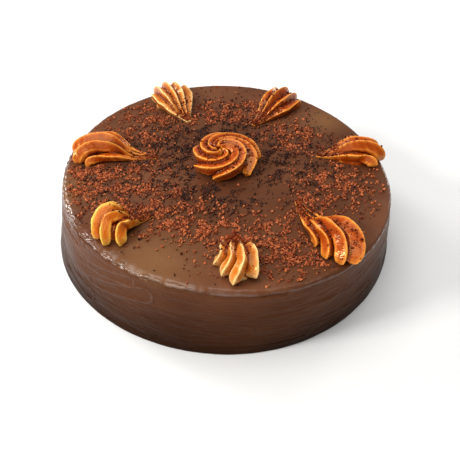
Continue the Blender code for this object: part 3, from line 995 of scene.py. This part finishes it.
cutter = plain_cake("cutter", -SINK)
cream_pieces = {name: cream_piece(name, shell_tubes(row), SHELL_SEED + number)
                for number, (name, row) in enumerate(SHELLS.items())}
cream_pieces["rosette"] = cream_piece("rosette", rosette_tubes(), ROSETTE_SEED)
bpy.data.objects.remove(cutter, do_unlink=True)

# %% [markdown]
# ## Chocolate crumbs
#
# Grated chocolate falls in drifts. A Geometry Nodes tree scatters it: it draws
# points on a surface where an attribute says how thick the drift is, puts a broken
# grain on each, turns and sizes it by a seeded draw, and makes the copies real. One
# tree serves the top of the cake and the cream, each with its own inputs.

# %% Grains
GRAIN_KINDS = 5
GRAIN_POINTS = 9
GRAIN_SEED = 60


def grain(name, seed):
    """A broken grain of about unit size: the hull of a few points on a squashed ball."""
    draw = random.Random(seed)
    bm = bmesh.new()
    for _ in range(GRAIN_POINTS):
        point = Vector((draw.gauss(0.0, 1.0), draw.gauss(0.0, 1.0), draw.gauss(0.0, 1.0))).normalized()
        reach = draw.uniform(0.75, 1.1)
        bm.verts.new((point.x * reach, point.y * reach * 0.8, point.z * reach * 0.65))
    hull = bmesh.ops.convex_hull(bm, input=bm.verts)
    loose = [item for item in hull["geom_interior"] if isinstance(item, bmesh.types.BMVert)]
    bmesh.ops.delete(bm, geom=loose, context="VERTS")
    bmesh.ops.recalc_face_normals(bm, faces=bm.faces)
    return mesh_object(name, bm)


grains = bpy.data.collections.new("grain_shapes")
scene.collection.children.link(grains)
for number in range(GRAIN_KINDS):
    shape = grain(f"grain_{number}", GRAIN_SEED + number)
    scene.collection.objects.unlink(shape)
    grains.objects.link(shape)

# %% [markdown]
# ### Where the drifts lie
#
# Each kind of crumb has a list of soft patches, in millimetres on the top. Their sum
# is the density at a point. No crumb lies under the cream: the surface for scattering
# leaves out the squares where a ray straight up from the glaze meets a piped piece.

# %% Drifts
# Patches: x, y, spread along x, spread along y, share
RED_DRIFTS = (
    (-80.0, -12.0, 28.0, 24.0, 1.0), (-100.0, -4.0, 14.0, 30.0, 0.6),
    (-46.0, -44.0, 26.0, 18.0, 0.95), (-18.0, -60.0, 20.0, 14.0, 0.8),
    (26.0, -74.0, 30.0, 20.0, 1.0), (50.0, -92.0, 22.0, 12.0, 0.7),
    (76.0, -18.0, 24.0, 22.0, 0.75), (56.0, -44.0, 10.0, 12.0, 1.0),
    (2.0, 72.0, 32.0, 14.0, 0.75), (52.0, 38.0, 20.0, 16.0, 0.7),
    (-66.0, 50.0, 26.0, 22.0, 0.5), (-56.0, 74.0, 20.0, 12.0, 0.4),
    (-74.0, 14.0, 22.0, 10.0, 0.5),
)
DARK_DRIFTS = (
    (-36.0, 22.0, 24.0, 26.0, 1.0), (-24.0, -30.0, 22.0, 16.0, 0.9),
    (0.0, 44.0, 30.0, 14.0, 0.9), (34.0, 10.0, 16.0, 24.0, 0.7),
    (10.0, -34.0, 18.0, 12.0, 0.6), (-70.0, 0.0, 34.0, 40.0, 0.45),
    (60.0, 6.0, 26.0, 40.0, 0.45), (0.0, 76.0, 50.0, 20.0, 0.4),
)
BARE_PATCHES = (
    (-40.0, -88.0, 22.0, 14.0, 0.95), (26.0, -26.0, 16.0, 12.0, 0.6),
    (90.0, 58.0, 16.0, 22.0, 0.9), (30.0, 102.0, 40.0, 8.0, 0.8),
)


def drift(x, y, patches):
    total = np.zeros_like(x)
    for px, py, sx, sy, share in patches:
        total += share * np.exp(-((x - px) / sx) ** 2 - ((y - py) / sy) ** 2)
    return total


def clumps(x, y, seed):
    """Patchiness inside a drift: between nearly bare and crowded."""
    mix = wave_noise(x, y, 16.0, seed) + 0.8 * wave_noise(x, y, 7.0, seed + 1)
    return np.clip(0.75 + 1.0 * mix, 0.06, 3.4)


def crumb_density(x, y, patches, seed):
    bare = np.clip(1.0 - drift(x, y, BARE_PATCHES), 0.03, 1.0)
    return np.clip(drift(x, y, patches), 0.02, 1.2) * clumps(x, y, seed) * bare


print(len(RED_DRIFTS) + len(DARK_DRIFTS), "drifts")

# %% Field for scattering
FIELD_STEP = 1.25
FIELD_REACH = 118.0
FIELD_RIM = 3.0
RAY_DEPTH = 0.002


def cream_tree():
    """One search tree over all piped pieces."""
    points = []
    faces = []
    for obj in cream_pieces.values():
        base = len(points)
        points += [vert.co.copy() for vert in obj.data.vertices]
        faces += [tuple(base + k for k in face.vertices) for face in obj.data.polygons]
    return BVHTree.FromPolygons(points, faces)


def top_field(name, tree):
    """A grid of points over the top, with the density of each kind of crumb at each."""
    count = int(2.0 * FIELD_REACH / FIELD_STEP) + 1
    steps = np.linspace(-FIELD_REACH, FIELD_REACH, count)
    x, y = (array.ravel() for array in np.meshgrid(steps, steps))
    rims = np.array([lobed(TOP_RADIUS, TOP_LOBES, a) for a in np.arctan2(y, x)]) / MM - FIELD_RIM
    heights = HEIGHT / MM + top_relief(x, y)
    free = np.hypot(x, y) < rims
    up = Vector((0.0, 0.0, 1.0))
    for k in np.nonzero(free)[0]:
        start = Vector((x[k] * MM, y[k] * MM, HEIGHT - RAY_DEPTH))
        free[k] = tree.ray_cast(start, up)[0] is None
    corners = [r * count + c for r in range(count - 1) for c in range(count - 1)]
    quads = [(k, k + 1, k + count + 1, k + count) for k in corners]
    mesh = bpy.data.meshes.new(name)
    mesh.from_pydata(np.stack((x, y, heights), axis=1) * MM, [],
                     [quad for quad in quads if all(free[k] for k in quad)])
    for key, patches, seed in (("red", RED_DRIFTS, 71), ("dark", DARK_DRIFTS, 81)):
        store(mesh, key, crumb_density(x, y, patches, seed))
    return link_object(name, mesh)


field = top_field("crumb_field", cream_tree())
print("field of", len(field.data.polygons), "squares")

# %% [markdown]
# ### The scattering tree
#
# Distribute Points on Faces draws the places, Instance on Points puts a grain of the
# collection on each. The tone of a grain is stored on its point before the grain is
# made real, so the material can read it as an attribute.


# %% Node tree
GRAIN_SIZE_POWER = 1.4
FULL_TURNS = (math.tau, math.tau, math.tau)
# Inputs of the tree: name and kind of socket
SCATTER_INPUTS = (
    ("Geometry", "Geometry"), ("Attribute", "String"), ("Crumbs per square metre", "Float"),
    ("Smallest", "Float"), ("Largest", "Float"), ("Lift", "Float"), ("Seed", "Int"),
    ("Grains", "Collection"), ("Material", "Material"),
)


def new_tree(name, kind, inputs, outputs):
    """A node group with its sockets, the sockets of its input node, and its output node."""
    tree = bpy.data.node_groups.new(name, kind)
    for side, rows in (("INPUT", inputs), ("OUTPUT", outputs)):
        for label, socket, *value in rows:
            made = tree.interface.new_socket(label, in_out=side, socket_type="NodeSocket" + socket)
            if value:
                made.default_value = value[0]
    given = tree.nodes.new("NodeGroupInput").outputs
    return tree, given, tree.nodes.new("NodeGroupOutput")


def random_value(tree, kind, seed, **inputs):
    return add_node(tree, "FunctionNodeRandomValue", {**inputs, "Seed": seed}, data_type=kind)


def scatter_tree():
    """Geometry Nodes: grains on a surface, as many as its density attribute says."""
    tree, given, result = new_tree("scatter_crumbs", "GeometryNodeTree", SCATTER_INPUTS,
                                   (("Geometry", "Geometry"),))
    named = add_node(tree, "GeometryNodeInputNamedAttribute", {"Name": given["Attribute"]},
                     data_type="FLOAT")
    density = maths(tree, "MULTIPLY", named.outputs["Attribute"], given["Crumbs per square metre"])
    points = add_node(tree, "GeometryNodeDistributePointsOnFaces",
                      {"Mesh": given["Geometry"], "Density": density, "Seed": given["Seed"]},
                      distribute_method="RANDOM")
    tone = random_value(tree, "FLOAT", given["Seed"])
    toned = add_node(tree, "GeometryNodeStoreNamedAttribute",
                     {"Geometry": points.outputs["Points"], "Name": "tone",
                      "Value": tone.outputs[1]}, data_type="FLOAT", domain="POINT")
    shapes = add_node(tree, "GeometryNodeCollectionInfo",
                      {"Collection": given["Grains"], "Separate Children": True,
                       "Reset Children": True})
    turn = random_value(tree, "FLOAT_VECTOR", maths(tree, "ADD", given["Seed"], 1), Max=FULL_TURNS)
    drawn = random_value(tree, "FLOAT", maths(tree, "ADD", given["Seed"], 2))
    size = map_range(tree, maths(tree, "POWER", drawn.outputs[1], GRAIN_SIZE_POWER),
                     0.0, 1.0, given["Smallest"], given["Largest"])
    placed = add_node(tree, "GeometryNodeInstanceOnPoints",
                      {"Points": toned.outputs["Geometry"], "Pick Instance": True,
                       "Instance": shapes.outputs["Instances"], "Rotation": turn.outputs[0],
                       "Scale": size})
    lift = add_node(tree, "ShaderNodeCombineXYZ", {"Z": given["Lift"]})
    raised = add_node(tree, "GeometryNodeTranslateInstances",
                      {"Instances": placed.outputs["Instances"],
                       "Translation": lift.outputs[0], "Local Space": False})
    real = add_node(tree, "GeometryNodeRealizeInstances",
                    {"Geometry": raised.outputs["Instances"]})
    painted = add_node(tree, "GeometryNodeSetMaterial",
                       {"Geometry": real.outputs["Geometry"], "Material": given["Material"]})
    fill(tree, result, {"Geometry": painted.outputs["Geometry"]})
    return tree


SCATTER = scatter_tree()
print("scatter tree with", len(SCATTER.nodes), "nodes")

# %% Scatter helper
CRUMB_SETTINGS = ("Attribute", "Crumbs per square metre", "Smallest", "Largest", "Lift", "Seed")
# Crumb pieces: attribute, crumbs per square metre, smallest and largest size, lift (m), seed
CRUMBS = {
    "crumbs_red": ("red", 740000.0, 0.00060, 0.00165, 0.0005, 7),
    "crumbs_dark": ("dark", 560000.0, 0.00055, 0.00140, 0.0004, 17),
    "crumbs_on_cream": ("dust", 1400000.0, 0.00055, 0.00150, 0.0001, 27),
}


def socket_name(tree, label):
    """Identifier of an input socket, which a modifier needs instead of its name."""
    for item in tree.interface.items_tree:
        if item.item_type == "SOCKET" and item.in_out == "INPUT" and item.name == label:
            return item.identifier


def scatter(name, surface, mat):
    """Runs the tree on a surface and returns the grains as a plain mesh object."""
    carrier = surface.copy()
    scene.collection.objects.link(carrier)
    modifier = carrier.modifiers.new("scatter", "NODES")
    modifier.node_group = SCATTER
    values = dict(zip(CRUMB_SETTINGS, CRUMBS[name]), Grains=grains, Material=mat)
    for label, value in values.items():
        modifier[socket_name(SCATTER, label)] = value
    depsgraph = bpy.context.evaluated_depsgraph_get()
    mesh = bpy.data.meshes.new_from_object(carrier.evaluated_get(depsgraph))
    bpy.data.objects.remove(carrier, do_unlink=True)
    mesh.name = name
    print(name, len(mesh.polygons), "faces")
    return link_object(name, mesh)


print(len(CRUMBS), "kinds of crumb pieces")

# %% [markdown]
# ## Finishes
#
# Glaze and cream need colour that changes from place to place. The change is a shader
# node group, built once: it mixes two colours by noise on Object coordinates and gives
# a height for a bump. Shaders stay outside the group, so each material sets its own
# gloss on its own shader.

# %% Mottle group
MOTTLE_CONTRAST = (0.36, 0.64)


def mix_colours(tree, factor, first, second):
    inputs = {"Factor": factor, 6: first, 7: second}
    return add_node(tree, "ShaderNodeMix", inputs, data_type="RGBA").outputs[2]


def vector_maths(tree, operation, inputs, output=0):
    return add_node(tree, "ShaderNodeVectorMath", inputs, operation=operation).outputs[output]


def mottle_group():
    """Two colours mixed by coarse noise, that mask, and fine noise as a height."""
    tree, given, result = new_tree(
        "mottle", "ShaderNodeTree",
        (("Colour A", "Color"), ("Colour B", "Color"), ("Coarse scale", "Float", 20.0),
         ("Fine scale", "Float", 600.0), ("Stretch", "Vector", (1.0, 1.0, 1.0))),
        (("Colour", "Color"), ("Mask", "Float"), ("Height", "Float")))
    where = add_node(tree, "ShaderNodeTexCoord").outputs["Object"]
    stretched = vector_maths(tree, "MULTIPLY", {0: where, 1: given["Stretch"]})
    noises = []
    for label, detail in (("Coarse scale", 5.0), ("Fine scale", 3.0)):
        inputs = {"Vector": stretched, "Scale": given[label], "Detail": detail}
        noises.append(add_node(tree, "ShaderNodeTexNoise", inputs).outputs["Fac"])
    mask = map_range(tree, noises[0], *MOTTLE_CONTRAST)
    colour = mix_colours(tree, mask, given["Colour A"], given["Colour B"])
    fill(tree, result, {"Colour": colour, "Mask": mask, "Height": noises[1]})
    return tree


MOTTLE = mottle_group()
print("mottle group with", len(MOTTLE.nodes), "nodes")

# %% Material helpers
BLACK = (0.0, 0.0, 0.0)
WHITE = (1.0, 1.0, 1.0)


def add_mottle(tree, first, second, coarse, fine, stretch=(1.0, 1.0, 1.0)):
    """Places the mottle group in a material and returns its outputs."""
    inputs = {"Colour A": (*first, 1.0), "Colour B": (*second, 1.0), "Coarse scale": coarse,
              "Fine scale": fine, "Stretch": stretch}
    return add_node(tree, "ShaderNodeGroup", inputs, node_tree=MOTTLE).outputs


def add_bump(tree, shader, height, strength, distance):
    inputs = {"Height": height, "Strength": strength, "Distance": distance}
    bump = add_node(tree, "ShaderNodeBump", inputs)
    fill(tree, shader, {"Normal": bump.outputs["Normal"]})


def attribute(tree, name):
    return add_node(tree, "ShaderNodeAttribute", attribute_name=name).outputs["Fac"]


def ramp_colour(tree, value, stops):
    """Colour for a value, from a ramp of the given (place, colour) stops."""
    ramp = add_node(tree, "ShaderNodeValToRGB", {"Fac": value})
    elements = ramp.color_ramp.elements
    while len(elements) < len(stops):
        elements.new(0.5)
    for element, (place, colour) in zip(elements, stops):
        element.position = place
        element.color = (*colour, 1.0)
    return ramp.outputs["Color"]


print("material helpers ready")

# %% [markdown]
# ### Glaze
#
# The glaze is dark, with paler patches painted on top and on the left rim as its
# sheen, and painted shade that darkens it towards the foot, which sees little light.
# Its shine comes from the kept sheen value, with a brown tint, and the wet rim has a
# clear coat on top. Fine level streaks of the spatula and a few burst bubbles go into
# the bump.

# %% Glaze material
GLAZE_DARK = (0.090, 0.030, 0.013)
GLAZE_WARM = (0.140, 0.050, 0.022)
GLAZE_PAINTED_SHEEN = (0.172, 0.075, 0.029)
# Share of the colour left at the foot, as painted shade
GLAZE_FOOT_SHADE = 0.20
GLAZE_TINT = (1.0, 0.60, 0.36)
GLAZE_ROUGHNESS = (0.26, 0.38)
GLAZE_BUMP = (0.7, 0.0007)
WET_SMOOTHING = -0.20
WET_ROUGHNESS = 0.18
WET_IOR = 1.62
BUBBLE_SCALE = 95.0
BUBBLE_EDGE = (0.05, 0.09)
# Paler patches painted as sheen on top and on the left rim: place (m), reach (m)
PAINTED_SHEEN_PATCHES = (((-0.045, -0.092), 0.046), ((0.078, 0.062), 0.026), ((-0.112, -0.02), 0.030))
# Distances count this many times downwards, so the patches end just under the rim
STEEP = 5.0


def painted_sheen_mask(tree, where):
    """1 in the middle of the painted sheen patches on top, 0 a little way down the side."""
    steep = vector_maths(tree, "MULTIPLY", {0: where, 1: (1.0, 1.0, STEEP)})
    patches = []
    for (x, y), reach in PAINTED_SHEEN_PATCHES:
        away = vector_maths(tree, "DISTANCE", {0: steep, 1: (x, y, STEEP * HEIGHT)}, "Value")
        patches.append(map_range(tree, away, reach, 0.0, interpolation_type="SMOOTHSTEP"))
    total = patches[0]
    for patch in patches[1:]:
        total = maths(tree, "MAXIMUM", total, patch)
    return total


def glaze_height(tree, where, grainy):
    """Height for the bump: streaks, a little of the fine grain, and burst bubbles."""
    streaks = add_mottle(tree, BLACK, WHITE, 30.0, 70.0, (1.0, 1.0, 11.0))
    cells = add_node(tree, "ShaderNodeTexVoronoi", {"Vector": where, "Scale": BUBBLE_SCALE})
    burst = map_range(tree, cells.outputs["Distance"], *BUBBLE_EDGE)
    height = maths(tree, "MULTIPLY_ADD", grainy, 0.25, streaks["Height"])
    return maths(tree, "MULTIPLY_ADD", burst, 0.6, height)


def glaze_material():
    mat, tree, shader = new_material("chocolate_glaze_finish")
    where = add_node(tree, "ShaderNodeTexCoord").outputs["Object"]
    mottle = add_mottle(tree, GLAZE_DARK, GLAZE_WARM, 16.0, 900.0, (1.0, 1.0, 1.6))
    # Painted sheen: paler patches on top and on the left rim mixed into the colour
    colour = mix_colours(tree, painted_sheen_mask(tree, where), mottle["Colour"], (*GLAZE_PAINTED_SHEEN, 1.0))
    height = add_node(tree, "ShaderNodeSeparateXYZ", {0: where}).outputs["Z"]
    # Painted shade: the colour darkens towards the foot
    shade = map_range(tree, height, 0.0, HEIGHT * 0.95, GLAZE_FOOT_SHADE, 1.0)
    wet = attribute(tree, "wet")
    gloss = map_range(tree, mottle["Mask"], 0.0, 1.0, *GLAZE_ROUGHNESS)
    fill(tree, shader, {
        "Base Color": vector_maths(tree, "SCALE", {0: colour, "Scale": shade}),
        "Roughness": maths(tree, "MULTIPLY_ADD", wet, WET_SMOOTHING, gloss),
        "Specular IOR Level": maths(tree, "MULTIPLY", attribute(tree, "sheen"), 0.5),
        "Specular Tint": (*GLAZE_TINT, 1.0),
        "Coat Weight": wet,
        "Coat Roughness": WET_ROUGHNESS,
        "Coat IOR": WET_IOR,
    })
    add_bump(tree, shader, glaze_height(tree, where, mottle["Height"]), *GLAZE_BUMP)
    return mat


glaze = glaze_material()
print("glaze finish with", len(glaze.node_tree.nodes), "nodes")

# %% [markdown]
# ### Cream
#
# The butter cream's colour comes from a ramp over the kept crease value: painted
# shade, deep orange to near black, in the creases, the cream's own orange on the
# flanks, and a painted highlight, pale, on the crests. Cocoa from the crumbs stains it
# brown where they lie thick. A little subsurface scattering lets the light in.

# %% Cream material
# Colours: painted shade in the creases, the cream's own colour on the flanks, painted highlight on the
# crests
ORANGE_CREAM_SHADE_AND_HIGHLIGHT = ((0.08, 0.004, 0.001), (0.41, 0.056, 0.002), (0.92, 0.335, 0.045))
PALE_CREAM_SHADE_AND_HIGHLIGHT = ((0.17, 0.013, 0.002), (0.56, 0.150, 0.012), (0.97, 0.62, 0.24))
YELLOW_CREAM_SHADE_AND_HIGHLIGHT = ((0.16, 0.012, 0.002), (0.62, 0.125, 0.004), (0.98, 0.58, 0.09))
CREAM_STOPS = (0.0, 0.5, 1.0)
# Crease values for the first colour, painted shade, and the last, painted highlight
CREAM_REACH = (0.75, -1.1)
COCOA_STAIN = (0.15, 0.020, 0.007)
STAIN_REACH = 0.22
STAIN_MOST = 0.92
CREAM_SURFACE = {
    "Roughness": 0.19, "Specular IOR Level": 0.75, "Specular Tint": (1.0, 0.66, 0.30, 1.0),
    "Subsurface Weight": 0.06, "Subsurface Radius": (1.0, 0.4, 0.12), "Subsurface Scale": 0.0015,
}
CREAM_BUMP = (0.05, 0.0001)


def cream_material(name, tones):
    mat, tree, shader = new_material(name)
    mottle = add_mottle(tree, BLACK, WHITE, 110.0, 1500.0)
    # Painted shade in the creases and a painted highlight on the crests, picked by the crease value
    crease = maths(tree, "MULTIPLY_ADD", mottle["Mask"], 0.10, attribute(tree, "hollow"))
    colour = ramp_colour(tree, map_range(tree, crease, *CREAM_REACH),
                         tuple(zip(CREAM_STOPS, tones)))
    cocoa = add_mottle(tree, BLACK, WHITE, 420.0, 1500.0)
    cover = maths(tree, "ADD", cocoa["Mask"], 0.35)
    patchy = maths(tree, "MULTIPLY_ADD", attribute(tree, "dust"), cover, -0.10)
    soak = map_range(tree, patchy, 0.0, STAIN_REACH, 0.0, STAIN_MOST)
    stained = mix_colours(tree, soak, colour, (*COCOA_STAIN, 1.0))
    fill(tree, shader, {"Base Color": stained, **CREAM_SURFACE})
    add_bump(tree, shader, mottle["Height"], *CREAM_BUMP)
    return mat


orange_cream = cream_material("orange_cream_finish", ORANGE_CREAM_SHADE_AND_HIGHLIGHT)
pale_cream = cream_material("pale_cream_finish", PALE_CREAM_SHADE_AND_HIGHLIGHT)
yellow_cream = cream_material("yellow_cream_finish", YELLOW_CREAM_SHADE_AND_HIGHLIGHT)
CREAM_FINISHES = {"shell_1": pale_cream, "shell_2": yellow_cream, "shell_4": pale_cream}
print("cream finishes ready")

# %% Crumb materials
# Stops of each kind: place and colour
RED_TONES = ((0.0, (0.08, 0.015, 0.006)), (0.35, (0.29, 0.062, 0.020)), (1.0, (0.60, 0.17, 0.055)))
DARK_TONES = ((0.0, (0.014, 0.005, 0.004)), (0.6, (0.040, 0.013, 0.008)), (1.0, (0.16, 0.045, 0.020)))
MOIST_TONES = ((0.0, (0.045, 0.007, 0.003)), (0.5, (0.16, 0.025, 0.008)), (1.0, (0.42, 0.085, 0.022)))


def crumb_material(name, tones, roughness, shine):
    """Colour by each grain's own tone."""
    mat, tree, shader = new_material(name)
    fill(tree, shader, {"Base Color": ramp_colour(tree, attribute(tree, "tone"), tones),
                        "Roughness": roughness, "Specular IOR Level": shine})
    return mat


red_crumb = crumb_material("red_crumb_finish", RED_TONES, 0.7, 0.2)
moist_crumb = crumb_material("moist_crumb_finish", MOIST_TONES, 0.6, 0.05)
dark_crumb = crumb_material("dark_crumb_finish", DARK_TONES, 0.6, 0.2)
print("crumb finishes ready")

# %% [markdown]
# ## Scatter and hand over
#
# The crumbs become three pieces: red and dark ones on the glaze, moist ones on the
# cream. The finished pieces ride on the cake's body and replace the plain solids.

# %% Crumbs on the glaze
crumb_pieces = [scatter("crumbs_red", field, red_crumb), scatter("crumbs_dark", field, dark_crumb)]
bpy.data.objects.remove(field, do_unlink=True)

# %% Crumbs on the cream
# Share of each piece's surface that holds crumbs: (near the tail, over the head)
CREAM_DUST = {
    "rosette": (1.6, 1.3), "shell_1": (3.4, 0.12), "shell_2": (4.0, 0.0), "shell_3": (2.4, 0.08),
    "shell_4": (1.2, 0.04), "shell_5": (2.0, 1.2), "shell_6": (1.5, 1.2), "shell_7": (2.8, 1.7),
}
TAIL_COVER = 0.95
TAIL_REACH = 30.0
# Crumbs stay only on faces that look up more than this
LEVEL_ENOUGH = 0.25


def add_dust(name, obj):
    """Density on a piped piece: only where it faces up, by how far from its tail."""
    near, far = CREAM_DUST[name]
    tail = Vector(SHELLS[name][1] if name in SHELLS else ROSETTE_FOOT) * MM
    covered = TAIL_COVER if name in SHELLS else 0.0
    hollows = obj.data.attributes["hollow"].data
    values = []
    for vert in obj.data.vertices:
        away = (vert.co.xy - tail).length / (TAIL_REACH * MM)
        share = near + (far - near) * ease(away)
        up = max(vert.normal.z - LEVEL_ENOUGH, 0.0)
        clump = 0.5 + 0.5 * math.sin(vert.co.x * 900.0) * math.sin(vert.co.y * 1100.0)
        caught = max(0.22 + 1.1 * hollows[vert.index].value, 0.03) + max(covered - away, 0.0)
        values.append(share * up * (0.3 + 0.7 * clump) * caught)
    store(obj.data, "dust", values)


cream_joined = bmesh.new()
for name, obj in cream_pieces.items():
    add_dust(name, obj)
    cream_joined.from_mesh(obj.data)
cream_surface = mesh_object("cream_surface", cream_joined)
crumb_pieces.append(scatter("crumbs_on_cream", cream_surface, moist_crumb))
bpy.data.objects.remove(cream_surface, do_unlink=True)
for shape in list(grains.objects):
    bpy.data.objects.remove(shape, do_unlink=True)
bpy.data.collections.remove(grains)

# %% Hand over
cake_skin.data.materials.append(glaze)
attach(cake_skin, "root")
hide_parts("cake")
for name, obj in cream_pieces.items():
    obj.data.materials.clear()
    obj.data.materials.append(CREAM_FINISHES.get(name, orange_cream))
    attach(obj, "root")
    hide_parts(name)
for obj in crumb_pieces:
    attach(obj, "root")
